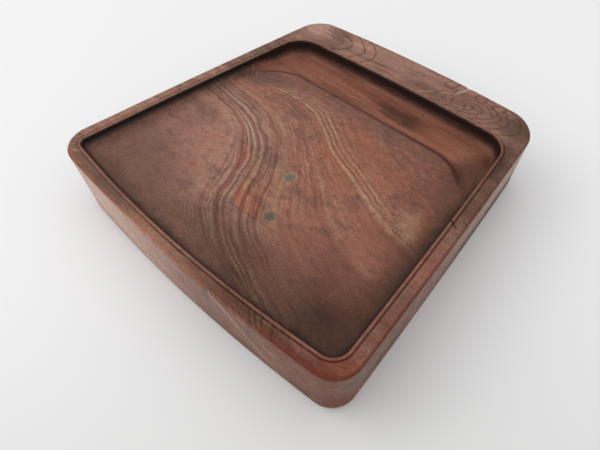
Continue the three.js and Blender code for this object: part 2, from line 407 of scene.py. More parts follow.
def closed_skin(name, rings, first, last):
    """One closed mesh through rings of points, closed at each end round a middle point."""
    count = len(ANGLES)
    points = np.vstack([[first], *rings, [last]])
    end = len(points) - 1
    index = np.arange(count)
    after = (index + 1) % count
    faces = [(0, 1 + b, 1 + a) for a, b in zip(index, after)]
    for level in range(len(rings) - 1):
        low = 1 + level * count
        high = low + count
        faces += [(low + a, low + b, high + b, high + a) for a, b in zip(index, after)]
    low = 1 + (len(rings) - 1) * count
    faces += [(low + a, low + b, end) for a, b in zip(index, after)]
    mesh = bpy.data.meshes.new(name)
    mesh.from_pydata((points * MM).tolist(), [], [tuple(int(i) for i in face) for face in faces])
    mesh.validate()
    mesh.shade_smooth()
    piece = bpy.data.objects.new(name, mesh)
    bpy.context.scene.collection.objects.link(piece)
    return piece


# ---------------------------------------------------------------------------------------------
# Shader arithmetic

# What the sheen adds to a colour as it is seen, and the darkest colour that the shader is given
SHEEN_LOSS = 0.02
DARKEST = 0.002


def linear(red, green, blue):
    """The shader's linear colour for a stone colour as it is seen, 0 to 255, under its sheen."""
    def channel(value):
        value = value / 255
        seen = value / 12.92 if value <= 0.04045 else ((value + 0.055) / 1.055) ** 2.4
        return max(seen - SHEEN_LOSS, DARKEST)
    return (channel(red), channel(green), channel(blue), 1.0)


class Value:
    """A number in the shader. Arithmetic on it adds Math nodes."""

    def __init__(self, graph, socket):
        self.graph = graph
        self.socket = socket

    def __add__(self, other):
        return self.graph.math("ADD", self, other)

    def __radd__(self, other):
        return self.graph.math("ADD", other, self)

    def __sub__(self, other):
        return self.graph.math("SUBTRACT", self, other)

    def __rsub__(self, other):
        return self.graph.math("SUBTRACT", other, self)

    def __mul__(self, other):
        return self.graph.math("MULTIPLY", self, other)

    def __rmul__(self, other):
        return self.graph.math("MULTIPLY", other, self)

    def __truediv__(self, other):
        return self.graph.math("DIVIDE", self, other)

    def __abs__(self):
        return self.graph.math("ABSOLUTE", self)

    def __neg__(self):
        return self.graph.math("MULTIPLY", self, -1.0)


# A colour ramp holds at most 32 stops, and each line needs three.
LINES_PER_RAMP = 10


class Graph:
    """Adds nodes to one material. Inputs are Values, sockets or plain numbers."""

    def __init__(self, tree):
        self.tree = tree

    def node(self, kind, **settings):
        node = self.tree.nodes.new(kind)
        for name, value in settings.items():
            setattr(node, name, value)
        return node

    def feed(self, socket, value):
        if isinstance(value, Value):
            value = value.socket
        if isinstance(value, bpy.types.NodeSocket):
            self.tree.links.new(value, socket)
        else:
            socket.default_value = value

    def math(self, operation, *values):
        node = self.node("ShaderNodeMath", operation=operation)
        for socket, value in zip(node.inputs, values):
            self.feed(socket, value)
        return Value(self, node.outputs[0])

    def low(self, a, b):
        return self.math("MINIMUM", a, b)

    def high(self, a, b):
        return self.math("MAXIMUM", a, b)

    def soft_low(self, a, b, blend):
        return self.math("SMOOTH_MIN", a, b, blend)

    def rise(self, value, start, end, low=0.0, high=1.0):
        """Smoothly from `low` at `start` to `high` at `end`, and level outside them."""
        return self.map(value, start, end, low, high, "SMOOTHSTEP")

    def map(self, value, start, end, low=0.0, high=1.0, kind="LINEAR"):
        """Evenly from `low` at `start` to `high` at `end`, and level outside them."""
        node = self.node("ShaderNodeMapRange", interpolation_type=kind)
        names = ("Value", "From Min", "From Max", "To Min", "To Max")
        for name, number in zip(names, (value, start, end, low, high)):
            self.feed(node.inputs[name], number)
        return Value(self, node.outputs[0])

    def coordinates(self, kind, scale=1.0):
        """The x, y and z of the point being shaded."""
        place = self.node("ShaderNodeTexCoord")
        split = self.node("ShaderNodeSeparateXYZ")
        self.feed(split.inputs[0], place.outputs[kind])
        return [Value(self, socket) * scale for socket in split.outputs]

    def vector(self, x, y, z=0.0):
        node = self.node("ShaderNodeCombineXYZ")
        for socket, value in zip(node.inputs, (x, y, z)):
            self.feed(socket, value)
        return node.outputs[0]

    def noise(self, vector, detail=2.0, roughness=0.5):
        """Noise with its highs and lows about one unit of the vector apart."""
        node = self.node("ShaderNodeTexNoise")
        self.feed(node.inputs["Vector"], vector)
        self.feed(node.inputs["Scale"], 1.0)
        self.feed(node.inputs["Detail"], detail)
        self.feed(node.inputs["Roughness"], roughness)
        return Value(self, node.outputs[0])

    def cells(self, vector):
        """Distance to the nearest scattered point, and a random number for that point."""
        node = self.node("ShaderNodeTexVoronoi")
        self.feed(node.inputs["Vector"], vector)
        self.feed(node.inputs["Scale"], 1.0)
        split = self.node("ShaderNodeSeparateColor")
        self.feed(split.inputs[0], node.outputs["Color"])
        return Value(self, node.outputs["Distance"]), Value(self, split.outputs[0])

    def ramp(self, value, start, end, stops):
        """A colour ramp whose stops are placed in the value's own units."""
        node = self.node("ShaderNodeValToRGB")
        self.feed(node.inputs[0], self.map(value, start, end))
        ramp = node.color_ramp
        while len(ramp.elements) < len(stops):
            ramp.elements.new(0.5)
        for element, (place, colour) in zip(ramp.elements, stops):
            element.position = (place - start) / (end - start)
            element.color = colour
        return node.outputs[0]

    def tone_ramp(self, value, start, end, tones):
        """A colour ramp through tones as they are seen."""
        return self.ramp(value, start, end, [(place, linear(*tone)) for place, tone in tones])

    def seams(self, value, start, end, lines):
        """Strength of thin lines, each given by its place, half width and strength."""
        total = 0.0
        for first in range(0, len(lines), LINES_PER_RAMP):
            stops = [(start, (0, 0, 0, 1))]
            for place, half, strength in lines[first:first + LINES_PER_RAMP]:
                stops += [
                    (place - half, (0, 0, 0, 1)),
                    (place, (strength, strength, strength, 1)),
                    (place + half, (0, 0, 0, 1)),
                ]
            total = Value(self, self.ramp(value, start, end, stops)) + total
        return total

    def curve(self, value, stations, heights):
        """A smooth curve through the heights at the stations."""
        node = self.node("ShaderNodeFloatCurve")
        bottom, top = min(heights), max(heights)
        self.feed(node.inputs["Value"], self.map(value, stations[0], stations[-1]))
        curve = node.mapping.curves[0]
        places = [(s - stations[0]) / (stations[-1] - stations[0]) for s in stations]
        levels = [(h - bottom) / (top - bottom) for h in heights]
        while len(curve.points) < len(places):
            curve.points.new(0.5, 0.5)
        for point, place, level in zip(curve.points, places, levels):
            point.location = (place, level)
        node.mapping.update()
        return Value(self, node.outputs[0]) * (top - bottom) + bottom

    def mix(self, factor, first, second, blend="MIX"):
        """The first colour at factor 0, and the second, or its product with the first, at 1."""
        node = self.node("ShaderNodeMix", data_type="RGBA", blend_type=blend)
        self.feed(node.inputs[0], factor)
        self.feed(node.inputs[6], first)
        self.feed(node.inputs[7], second)
        return node.outputs[2]

    def mottle(self, value, colour, tints, blend="MIX"):
        """Tints a colour where a value is high or low: start, full, strength and tint of each."""
        for start, full, strength, tint in tints:
            colour = self.mix(self.rise(value, start, full, 0.0, strength), colour, tint, blend)
        return colour


# ---------------------------------------------------------------------------------------------
# The stone's bands. Across the ground they run roughly from the left side to the foot, so they
# are described in axes turned by an eighth of a turn: `u` runs along the bands, towards the foot
# and the right, and `v` runs across them, towards the head and the right. Five guide seams give
# the level, 0 to 4, and every thin seam lies at its own level between them.

ROOT_TWO = math.sqrt(2)
STATIONS = (-60, -45, -30, -15, 0, 15, 30, 45, 60, 75, 90)
GUIDE_SEAMS = (
    (-67.5, -55.5, -43.0, -39.5, -43.0, -50.0, -55.0, -52.0, -43.0, -33.5, -22.5),
    (-61.5, -50.0, -39.5, -34.5, -34.5, -38.5, -44.0, -42.0, -36.5, -28.5, -19.0),
    (-54.5, -43.5, -33.0, -26.5, -25.0, -29.5, -34.5, -35.0, -30.0, -24.0, -16.0),
    (-45.0, -32.0, -21.0, -15.0, -14.5, -16.0, -20.5, -22.5, -18.0, -12.5, -4.5),
    (-33.0, -12.0, 1.5, 6.5, 10.0, 16.5, 22.5, 29.5, 38.0, 47.5, 57.0),
)
LEVEL_BELOW = 10.0
LEVEL_ABOVE = 25.0
GROUND_LEVEL = HEIGHT - GROUND_DEPTH
BAND_LEAN = 1.3
PINCH_U = -18.0


def band_level(g, u, v):
    """The level of the bands: 0 to 4 between the guide seams, and on past them at each end."""
    guides = [g.curve(u, STATIONS, heights) for heights in GUIDE_SEAMS]
    level = g.low(v - guides[0], 0.0) / LEVEL_BELOW + g.high(v - guides[-1], 0.0) / LEVEL_ABOVE
    for lower, upper in zip(guides, guides[1:]):
        level = level + g.map(v, lower, upper)
    return level


# The seams along the whole of the bands: level, half width and strength
DARK_SEAMS = (
    (0.57, 0.07, 0.6), (1.2, 0.14, 0.8), (1.36, 0.06, 0.45), (1.66, 0.06, 0.85), (1.95, 0.05, 0.6),
    (2.03, 0.05, 1.0), (2.35, 0.07, 1.0), (2.62, 0.05, 0.45), (2.87, 0.07, 0.75), (3.16, 0.03, 0.5),
    (3.24, 0.025, 0.5), (3.34, 0.025, 0.3), (3.5, 0.025, 0.45), (3.65, 0.02, 0.4), (3.82, 0.04, 0.3),
    (3.94, 0.025, 0.5), (4.06, 0.03, 0.8), (4.15, 0.025, 0.8), (4.26, 0.035, 0.7), (4.36, 0.03, 0.4),
)
PALE_SEAMS = (
    (0.3, 0.12, 0.2), (0.98, 0.07, 0.45), (1.5, 0.07, 0.85), (1.8, 0.07, 1.0), (2.18, 0.1, 0.5),
    (2.5, 0.06, 0.35), (2.74, 0.06, 0.25), (3.04, 0.04, 0.2), (3.12, 0.025, 0.3), (3.6, 0.018, 0.65),
    (3.7, 0.015, 0.45), (4.0, 0.045, 0.9), (4.1, 0.03, 0.75), (4.2, 0.04, 0.85), (4.3, 0.025, 0.5),
    (4.48, 0.03, 0.2), (4.95, 0.022, 0.4), (5.45, 0.02, 0.4),
)
# More of them appear towards the foot.
FOOT_DARK_SEAMS = (
    (-0.22, 0.03, 0.4), (-0.08, 0.04, 0.7), (0.05, 0.04, 0.65), (0.16, 0.03, 0.3), (0.8, 0.05, 0.45),
)
FOOT_PALE_SEAMS = ((-0.15, 0.03, 0.35), (-0.01, 0.04, 0.6), (0.11, 0.03, 0.35), (0.9, 0.06, 0.4))
SEAM_SPAN = (-1.5, 6.5)

# The stronger pale seams have a thin dark border on each side.
BORDERS = tuple(
    (place + side * 1.2 * half, 0.5 * half, 0.8 * strength)
    for place, half, strength in PALE_SEAMS if strength > 0.4
    for side in (-1, 1)
)

# The stone's own colour at each level, between the seams
BAND_TONES = (
    (-1.5, (152, 112, 99)),
    (-0.4, (158, 117, 102)),
    (0.5, (158, 118, 103)),
    (0.9, (153, 114, 99)),
    (1.3, (141, 100, 88)),
    (1.7, (144, 108, 94)),
    (2.1, (143, 108, 94)),
    (2.5, (140, 104, 91)),
    (2.95, (143, 103, 88)),
    (3.1, (151, 111, 94)),
    (3.3, (149, 105, 90)),
    (3.9, (147, 101, 86)),
    (4.3, (144, 101, 87)),
    (4.7, (138, 91, 76)),
    (5.1, (130, 89, 76)),
    (5.6, (120, 82, 71)),
    (6.3, (112, 77, 66)),
)
# What the seams multiply that colour by
SEAM_SHADE = (0.52, 0.28, 0.31, 1.0)
SEAM_LIGHT = (1.4, 2.36, 2.15, 1.0)
PALE_SEAM = linear(184, 158, 126)
# The darkest tone is ink and painted shade together, on the basin's far walls.
BLACK_INK_AND_SHADE = linear(30, 23, 21)
OLD_INK = linear(46, 36, 32)
BROWN_INK = linear(78, 58, 49)


def ellipse(g, x, y, centre, radii, turn=0.0):
    """Distance from a centre, in radii of an ellipse turned by `turn` degrees."""
    cos, sin = math.cos(math.radians(turn)), math.sin(math.radians(turn))
    dx, dy = x - centre[0], y - centre[1]
    along = (dx * cos + dy * sin) / radii[0]
    across = (dy * cos - dx * sin) / radii[1]
    return g.math("SQRT", along * along + across * across)


def patch(g, x, y, centre, radii, turn=0.0, core=0.2):
    """A soft-edged patch, 1 in its core and 0 outside its radii."""
    return g.rise(ellipse(g, x, y, centre, radii, turn), 1.0, core)


def stroke(g, x, y, start, end, half):
    """A straight thin line between two points, fading over its half width."""
    run, climb = end[0] - start[0], end[1] - start[1]
    length = math.hypot(run, climb)
    dx, dy = x - start[0], y - start[1]
    along = (dx * run + dy * climb) / length
    across = abs(dx * (climb / length) - dy * (run / length))
    beyond = g.high(-along, along - length)
    return g.rise(g.high(across, beyond / 3), half, 0.0)


def to_rounded_edge(g, shape, x, edges):
    """Distance inwards from a shape's rounded edge."""
    def corner(a, b, radius):
        short_a, short_b = g.high(radius - a, 0.0), g.high(radius - b, 0.0)
        past_the_corner = g.high(g.low(a, b) - radius, 0.0)
        return past_the_corner + radius - g.math("SQRT", short_a * short_a + short_b * short_b)

    to_side, to_foot, to_head = edges
    foot_radius = g.map(x, -1.0, 1.0, shape["left_foot_radius"], shape["right_foot_radius"])
    head_radius = g.map(x, -1.0, 1.0, shape["left_head_radius"], shape["right_head_radius"])
    return g.low(corner(to_foot, to_side, foot_radius), corner(to_head, to_side, head_radius))


def painted(g, x, y, colour, patches):
    """The colour with soft patches of other tones over it."""
    for centre, radii, turn, tone, strength in patches:
        colour = g.mix(patch(g, x, y, centre, radii, turn) * strength, colour, linear(*tone))
    return colour


# ---------------------------------------------------------------------------------------------
# The grinding ground. Patches have a centre, radii, a turn, a colour as seen and a strength.

GROUND_PATCHES = (
    # Darker along the foot and the right side
    ((30, -64), (62, 24), 0, (98, 69, 58), 0.75),
    ((74, -66), (42, 28), -30, (58, 44, 37), 0.85),
    ((60, 30), (16, 15), 0, (84, 58, 50), 0.5),
    ((74, -44), (14, 24), 0, (84, 58, 49), 0.6),
    ((82, -14), (28, 66), 0, (84, 58, 49), 0.75),
    ((-52, -64), (50, 32), 0, (108, 79, 68), 0.75),
    ((0, -68), (60, 12), 0, (98, 72, 61), 0.5),
    # Greyer towards the shoulder
    ((-60, 24), (34, 10), 20, (92, 70, 66), 0.7),
    ((0, 36), (70, 11), 0, (112, 84, 75), 0.55),
    ((-25, 16), (18, 6), -20, (108, 80, 72), 0.6),
    # Small stains
    ((24, -22), (9, 12), 30, (110, 76, 64), 0.4),
    ((-60, -20), (12, 20), 0, (120, 90, 79), 0.5),
    ((-55, -13), (8, 4), 0, (94, 76, 68), 0.5),
    # Clouds in the stone itself, the first warm and the rest darker or paler
    ((20, 8), (36, 22), -25, (156, 100, 78), 0.35),
    ((50, -40), (26, 15), -20, (104, 68, 57), 0.5),
    ((60, -46), (22, 14), 0, (104, 70, 59), 0.4),
    ((-34, -6), (30, 18), 20, (168, 128, 112), 0.35),
    ((-66, -45), (20, 22), 0, (112, 84, 76), 0.55),
    ((32, -45), (22, 12), -20, (112, 74, 64), 0.35),
    ((62, -15), (22, 20), 0, (112, 72, 58), 0.35),
    ((58, 14), (20, 16), 0, (98, 66, 56), 0.35),
    ((62, -6), (14, 7), -50, (170, 138, 112), 0.35),
    ((-8, -62), (26, 16), 0, (104, 77, 66), 0.5),
)
CRACK_Y = -46.5
CRACK = ((-18, -48.2), (23, -45.4))
HAIRLINE = ((-47, -56.5), (-35, -58.0))
SCRATCH = ((60.5, -57), (62, -41))
# Centre, radius, core and halo
STONE_EYES = (
    ((5.5, -19.0), 2.9, linear(112, 104, 90), linear(160, 132, 110)),
    ((15.5, -41.0), 2.8, linear(94, 90, 78), linear(140, 108, 88)),
)
# Where a tint starts, where it is full, how strong it is, and its colour
CLOUD_TINTS = ((0.5, 0.68, 0.4, linear(174, 120, 100)), (0.5, 0.32, 0.5, linear(104, 70, 63)))
STAIN_TINTS = ((0.54, 0.72, 0.4, linear(164, 96, 80)), (0.5, 0.32, 0.55, linear(102, 76, 70)))


def ground_tone(g, x, y, level):
    """The bands' own tones, with clouds and broad stains over them."""
    colour = g.tone_ramp(level, *SEAM_SPAN, BAND_TONES)
    cloud = g.noise(g.vector(x / 4.5, y / 3.0, 9.0), 4.0, 0.65)
    colour = g.mottle(cloud, colour, CLOUD_TINTS)
    stain = g.noise(g.vector(x / 15, y / 10, 21.0), 4.0, 0.6)
    return g.mottle(stain, colour, STAIN_TINTS)


def band_lines(g, u, level):
    """How dark and how pale the fibres and seams of the bands are."""
    across = level * 12.0 + g.high(level - 3.0, 0.0) * 14.0
    fibre = g.noise(g.vector(across, u / 26), 4.0, 0.7)
    sparse = g.rise(u, 40.0, 5.0, 0.4, 0.6) * g.rise(level, 4.8, 4.2, 0.4, 1.0)
    dense = g.low(g.rise(level, 3.1, 2.8) + sparse, 1.0)
    fibrous = g.rise(level, -0.1, 1.2, 0.12, 0.9) * dense
    broken = g.noise(g.vector(level * 2.5, u / 9), 4.0, 0.6)
    strength = g.rise(broken, 0.3, 0.6, 0.5, 1.0)
    towards_foot = g.rise(u, -2.0, 12.0)
    dark = g.seams(level, *SEAM_SPAN, DARK_SEAMS)
    dark = g.high(dark, g.seams(level, *SEAM_SPAN, BORDERS) * 0.7)
    dark = dark + g.seams(level, *SEAM_SPAN, FOOT_DARK_SEAMS) * towards_foot
    pale = g.seams(level, *SEAM_SPAN, PALE_SEAMS)
    pale = pale + g.seams(level, *SEAM_SPAN, FOOT_PALE_SEAMS) * towards_foot
    dark = g.high(dark * strength, g.rise(fibre, 0.52, 0.36) * fibrous * 0.85)
    pale = g.high(pale * strength, g.rise(fibre, 0.52, 0.66) * fibrous * 0.6)
    near_foot = g.rise(u, 36.0, 62.0) * g.rise(level, 1.9, 2.3)
    return dark * (1.0 - near_foot * 0.4), pale * (1.0 - near_foot * 0.65)


def banded(g, colour, lines):
    """The colour with the bands' dark and pale lines over it."""
    dark, pale = lines
    colour = g.mix(dark, colour, SEAM_SHADE, "MULTIPLY")
    return g.mix(pale, colour, SEAM_LIGHT, "MULTIPLY")


def orange_zone(g, y, u, level, colour):
    """Between levels 2 and 3 the stone turns orange, up to the crack that crosses the bands."""
    above_crack = g.rise(y, CRACK_Y - 0.4, CRACK_Y + 0.8)
    zone = g.rise(u, 6.0, 36.0) * above_crack
    whole = zone * g.rise(level, 1.85, 2.1) * g.rise(level, 3.1, 2.8)
    colour = g.mix(whole * 0.3, colour, linear(160, 88, 66))
    red = zone * g.rise(level, 1.93, 2.08) * g.rise(level, 2.5, 2.3)
    return g.mix(red * 0.25, colour, linear(172, 84, 54))


def ground_marks(g, x, y, colour):
    """The stone's eyes, the crack and a few scratches."""
    wander = g.noise(g.vector(x / 5, y / 5, 3.0), 2.0) * 2.4 - 1.2
    crack = stroke(g, x, y + wander, *CRACK, 0.5)
    broken = g.rise(g.noise(g.vector(x / 3, 7.0), 1.0), 0.35, 0.6)
    colour = g.mix(crack * broken * 0.6, colour, linear(84, 52, 46))
    hairline = stroke(g, x, y + wander, *HAIRLINE, 0.5)
    colour = g.mix(hairline * 0.5, colour, linear(84, 62, 54))
    scratch = stroke(g, x + wander * 0.4, y, *SCRATCH, 0.35)
    colour = g.mix(scratch * 0.07, colour, PALE_SEAM)
    for centre, radius, core, halo in STONE_EYES:
        ragged = g.noise(g.vector(x / 1.4, y / 1.4), 2.0) * 0.5
        away = ellipse(g, x, y, centre, (radius, radius)) + ragged
        colour = g.mix(g.rise(away, 1.75, 1.25) * 0.45, colour, halo)
        colour = g.mix(g.rise(away, 1.35, 0.95) * 0.85, colour, core)
        colour = g.mix(g.rise(away, 0.75, 0.4) * 0.35, colour, linear(80, 78, 68))
    return colour


def slanting_lines(g, x, y, colour):
    """A few fine slanting lines by the left of the foot."""
    across = (y + x * 0.42) / 1.7 + g.noise(g.vector(x / 12, y / 12), 2.0) * 1.6
    lines = g.rise(g.math("PINGPONG", across, 0.5), 0.1, 0.45)
    where = patch(g, x, y, (-70, -57), (18, 13), -20, 0.4)
    faint = g.rise(g.noise(g.vector(x / 5, y / 5, 12.0), 2.0), 0.35, 0.65)
    return g.mix(lines * where * faint * 0.3, colour, linear(92, 62, 54))


# ---------------------------------------------------------------------------------------------
# The ink pool beyond the shoulder, where the streaks run across the stone

POOL_TONES = (
    (0.25, (96, 62, 54)),
    (0.42, (130, 85, 71)),
    (0.55, (146, 97, 80)),
    (0.66, (150, 104, 85)),
    (0.8, (176, 136, 110)),
)
POOL_PATCHES = (
    ((-44, 52), (34, 12), 0, (146, 98, 84), 0.5),
    ((14, 51), (28, 7.0), -4, (84, 57, 49), 0.9),
    ((-58, 44), (16, 12), 0, (126, 84, 73), 0.5),
    # Painted light: a paler patch that lifts the shade by the pool's left end.
    ((-66, 51), (9, 9), 0, (176, 118, 100), 0.6),
    ((66, 52), (10, 9), 0, (66, 48, 42), 0.7),
    ((-20, 44), (36, 5), 0, (106, 72, 62), 0.6),
    ((46, 52), (26, 12), 0, (134, 88, 70), 0.5),
    ((62, 38), (16, 20), 0, (82, 57, 48), 0.75),
)


def pool_colour(g, x, y, z, sx, sy):
    """Streaks along the pool, and a pale curl at its right end."""
    streak = g.noise(g.vector(sx / 36, (y + sx * 0.06) / 1.7, z / 3), 4.0, 0.65)
    colour = g.tone_ramp(streak, 0.2, 0.85, POOL_TONES)
    colour = painted(g, sx, sy, colour, POOL_PATCHES)
    curl = g.math("PINGPONG", ellipse(g, sx, sy, (55, 50), (5, 9), 20) * 2.2, 0.5)
    where = patch(g, x, y, (52, 50), (9, 9))
    return g.mix(g.rise(curl, 0.3, 0.5) * where * 0.22, colour, PALE_SEAM)


# ---------------------------------------------------------------------------------------------
# The rim. At its head end the bands meet the surface edge on, in nested loops and ovals.

RIM_TONES = (
    (0.25, (96, 70, 64)),
    (0.42, (132, 99, 87)),
    (0.58, (150, 114, 99)),
    (0.75, (172, 136, 119)),
)
RIM_PATCHES = (
    # Head rim, from left to right
    ((-63, 74), (17, 12), 20, (172, 138, 124), 0.75),
    ((-50, 72), (13, 12), 0, (126, 100, 91), 0.3),
    ((-50, 78), (12, 4), 0, (104, 84, 77), 0.3),
    ((-46, 65), (16, 3.5), 10, (98, 76, 68), 0.65),
    ((-34, 77), (14, 8), 0, (166, 128, 113), 0.6),
    ((-12, 76), (18, 8), 0, (158, 124, 110), 0.5),
    ((18, 68), (22, 7), 0, (112, 84, 74), 0.6),
    ((42, 72), (34, 14), 0, (122, 90, 78), 0.55),
    ((68, 74), (20, 18), 0, (84, 64, 56), 0.85),
    # Right rim
    ((84, -74), (20, 16), 0, (118, 66, 53), 0.85),
    ((86, -46), (12, 28), 0, (106, 70, 58), 0.75),
    ((81, -8), (12, 26), 0, (114, 80, 68), 0.6),
    ((76, 20), (12, 30), 0, (82, 59, 52), 0.75),
    ((69, 46), (12, 24), 0, (66, 51, 46), 0.85),
    ((82, -36), (12, 8), 0, (106, 76, 66), 0.5),
    ((79, -22), (10, 16), 0, (132, 82, 68), 0.5),
    # Left rim
    ((-84, -34), (12, 22), 0, (160, 124, 108), 0.55),
    ((-75, 42), (12, 36), 0, (98, 78, 70), 0.7),
    # Foot rim
    ((-50, -82), (50, 9), 0, (98, 74, 64), 0.85),
    ((-74, -78), (18, 9), 0, (102, 76, 66), 0.6),
    ((-16, -81), (20, 6), 0, (150, 112, 88), 0.6),
    ((52, -82), (64, 10), 0, (88, 56, 46), 0.85),
)
# The rim's colour is multiplied by these tints.
BLOTCH_TINTS = ((0.52, 0.7, 0.35, (1.5, 1.5, 1.4, 1.0)), (0.46, 0.3, 0.45, (0.5, 0.48, 0.5, 1.0)))
HUE_TINTS = ((0.5, 0.64, 0.55, (0.92, 1.1, 0.88, 1.0)), (0.5, 0.36, 0.55, (1.1, 0.78, 0.84, 1.0)))
LOOP_LINE = linear(68, 48, 42)
LEFT_OVAL_TIPS = (-50, -47, -44, -38, -29, -22)
RIGHT_OVAL_TIPS = (37, 41, 46, 51, 55, 60, 66)
MIDDLE_OVAL_TIPS = (20, 25, 31, 38, 46)
SMALL_LOOPS = ((23, 80), (39, 80), (51, 79))


def nested_ovals(g, x, y, centre, squash, tips, half):
    """Thin lines on nested ovals, given by where each one's right tip lies."""
    across = (y - centre[1]) / squash
    out = g.math("SQRT", (x - centre[0]) * (x - centre[0]) + across * across)
    out = out + (g.noise(g.vector(x / 7, y / 5, 11.0), 2.0) - 0.5) * 4.0
    lines = [(tip - centre[0], half, 1.0) for tip in tips]
    return g.seams(out, 0.0, 60.0, lines)


def head_rim_lines(g, x, y, sx, sy, at_head, colour):
    """Nested ovals, small loops, wavy stripes and a pale chip on the head rim."""
    left = nested_ovals(g, x, y, (-62.0, 71.0), 0.42, LEFT_OVAL_TIPS, 1.1)
    right = nested_ovals(g, x, y, (33.0, 70.5), 0.42, RIGHT_OVAL_TIPS, 0.8)
    middle = nested_ovals(g, x, y, (14.0, 67.0), 0.3, MIDDLE_OVAL_TIPS, 0.7)
    ovals = left * g.rise(x, -58.0, -52.0) * g.rise(x, -16.0, -24.0)
    ovals = ovals + right * g.rise(x, 10.0, 30.0)
    ovals = ovals + middle * g.rise(x, 0.0, 12.0) * g.rise(y, 75.0, 71.0) * 0.7
    for centre in SMALL_LOOPS:
        ring_line = g.rise(abs(ellipse(g, sx, sy, centre, (3.2, 2.6)) - 1.0), 0.3, 0.05)
        ovals = ovals + ring_line * 0.8
    colour = g.mix(g.low(ovals, 1.0) * at_head * 0.65, colour, LOOP_LINE)

    wavy = y + g.noise(g.vector(x / 6, y / 6, 13.0), 2.0) * 3.0 + x * 0.12
    stripes = g.rise(g.math("PINGPONG", wavy / 2.4, 0.5), 0.12, 0.42)
    where = patch(g, x, y, (-50, 76), (13, 6), -5, 0.5)
    colour = g.mix(stripes * where * 0.5, colour, linear(74, 58, 54))

    chip = stroke(g, x, y + g.noise(g.vector(x, y)) - 0.5, (29, 77), (32, 84), 0.9)
    chip = g.high(chip, stroke(g, x, y, (13, 64.5), (18, 69), 0.5) * 0.6)
    return g.mix(chip * 0.7, colour, linear(178, 168, 148))


def left_rim_stripes(g, x, y, at_head, colour):
    """Slanting stripes cross the left rim."""
    slant = g.noise(g.vector(x / 12, (y - x * 0.5) / 2.2, 4.0), 3.0, 0.6)
    on_left = g.rise(x, -62.0, -72.0) * (1.0 - at_head)
    colour = g.mix(g.rise(slant, 0.52, 0.68) * on_left * 0.45, colour, linear(176, 140, 122))
    return g.mix(g.rise(slant, 0.48, 0.32) * on_left * 0.5, colour, linear(98, 72, 64))


def rim_colour(g, x, y, z, bx, by, sx, sy, lines):
    """Streaked stone in patches, with the ground's bands running on over the foot rim."""
    streak = g.noise(g.vector(bx / 22, by / 3.5, z / 10), 5.0, 0.7)
    colour = g.tone_ramp(streak, 0.25, 0.75, RIM_TONES)
    colour = painted(g, sx, sy, colour, RIM_PATCHES)
    blotch = g.noise(g.vector(x / 2.2, y / 1.8, 17.0), 4.0, 0.65)
    colour = g.mottle(blotch, colour, BLOTCH_TINTS, "MULTIPLY")
    hue = g.noise(g.vector(x / 4, y / 2.5, 23.0), 3.0, 0.6)
    colour = g.mottle(hue, colour, HUE_TINTS, "MULTIPLY")

    # The lines are drawn twice, because they are stronger here than on the ground.
    on_foot = g.rise(x, -44.0, 4.0) * g.rise(x, 86.0, 72.0) * g.rise(y, -58.0, -70.0)
    dark, pale = lines
    for pale_strength in (1.0, 0.5):
        colour = banded(g, colour, (dark * on_foot, pale * on_foot * pale_strength))

    at_head = g.rise(y, 56.0, 62.0)
    colour = head_rim_lines(g, x, y, sx, sy, at_head, colour)
    return left_rim_stripes(g, x, y, at_head, colour)


# Dark marks by the deepest nick in the bead: start, end and half width
BEAD_MARKS = (((72.4, 6.6), (76.6, 3.6), 0.9), ((79.5, 7.4), (81, 7.0), 0.7))


def bead_and_groove(g, x, y, from_mouth, colour):
    """The groove is darker, mostly by the foot and the right side, and the bead is rubbed."""
    rubbed = g.noise(g.vector(x / 6, y / 6, 2.0), 2.0)
    on_bead = g.rise(abs(from_mouth + 0.65), 0.75, 0.35)
    colour = g.mix(on_bead * g.rise(rubbed, 0.3, 0.7, 0.3, 0.75), colour, linear(136, 90, 72))
    for start, end, half in BEAD_MARKS:
        colour = g.mix(stroke(g, x, y, start, end, half) * 0.8, colour, linear(40, 36, 30))
    in_groove = g.rise(abs(from_mouth + 1.6), 0.55, 0.1)
    groove_darkening = g.rise(x, -50.0, 10.0, 0.15, 1.0) * g.rise(y, 64.0, 56.0)
    return g.mix(in_groove * (groove_darkening * 0.75), colour, linear(58, 38, 33))


# ---------------------------------------------------------------------------------------------
# The polished walls

WALL_TONES = (
    (0.25, (112, 80, 70)),
    (0.5, (130, 95, 83)),
    (0.75, (148, 113, 99)),
)
# Where each flame starts along the foot's top edge, its half width and its strength
PALE_FLAMES = (
    (16.0, 0.9, 0.5), (19.5, 0.8, 0.5), (24.5, 1.7, 1.0), (27.6, 1.0, 0.7), (30.5, 0.8, 0.5),
    (37.0, 1.0, 0.6), (41.5, 1.0, 0.8), (44.5, 0.8, 0.5), (49.0, 0.9, 0.4),
)
DARK_FLAMES = (
    (17.8, 0.8, 0.5), (22.2, 1.0, 0.7), (29.0, 0.9, 0.6), (34.6, 1.3, 0.7), (39.2, 1.3, 0.8),
    (43.0, 0.8, 0.7), (47.0, 1.0, 0.5), (52.0, 1.2, 0.4),
)
# Where each grey column stands, its half width and the height at which it ends
GREY_COLUMNS = ((22.3, 2.6, -4.0), (46.0, 2.2, 15.0))
RIGHT_WALL_SPOTS = ((-24.0, 11.0), (0.0, 11.5))


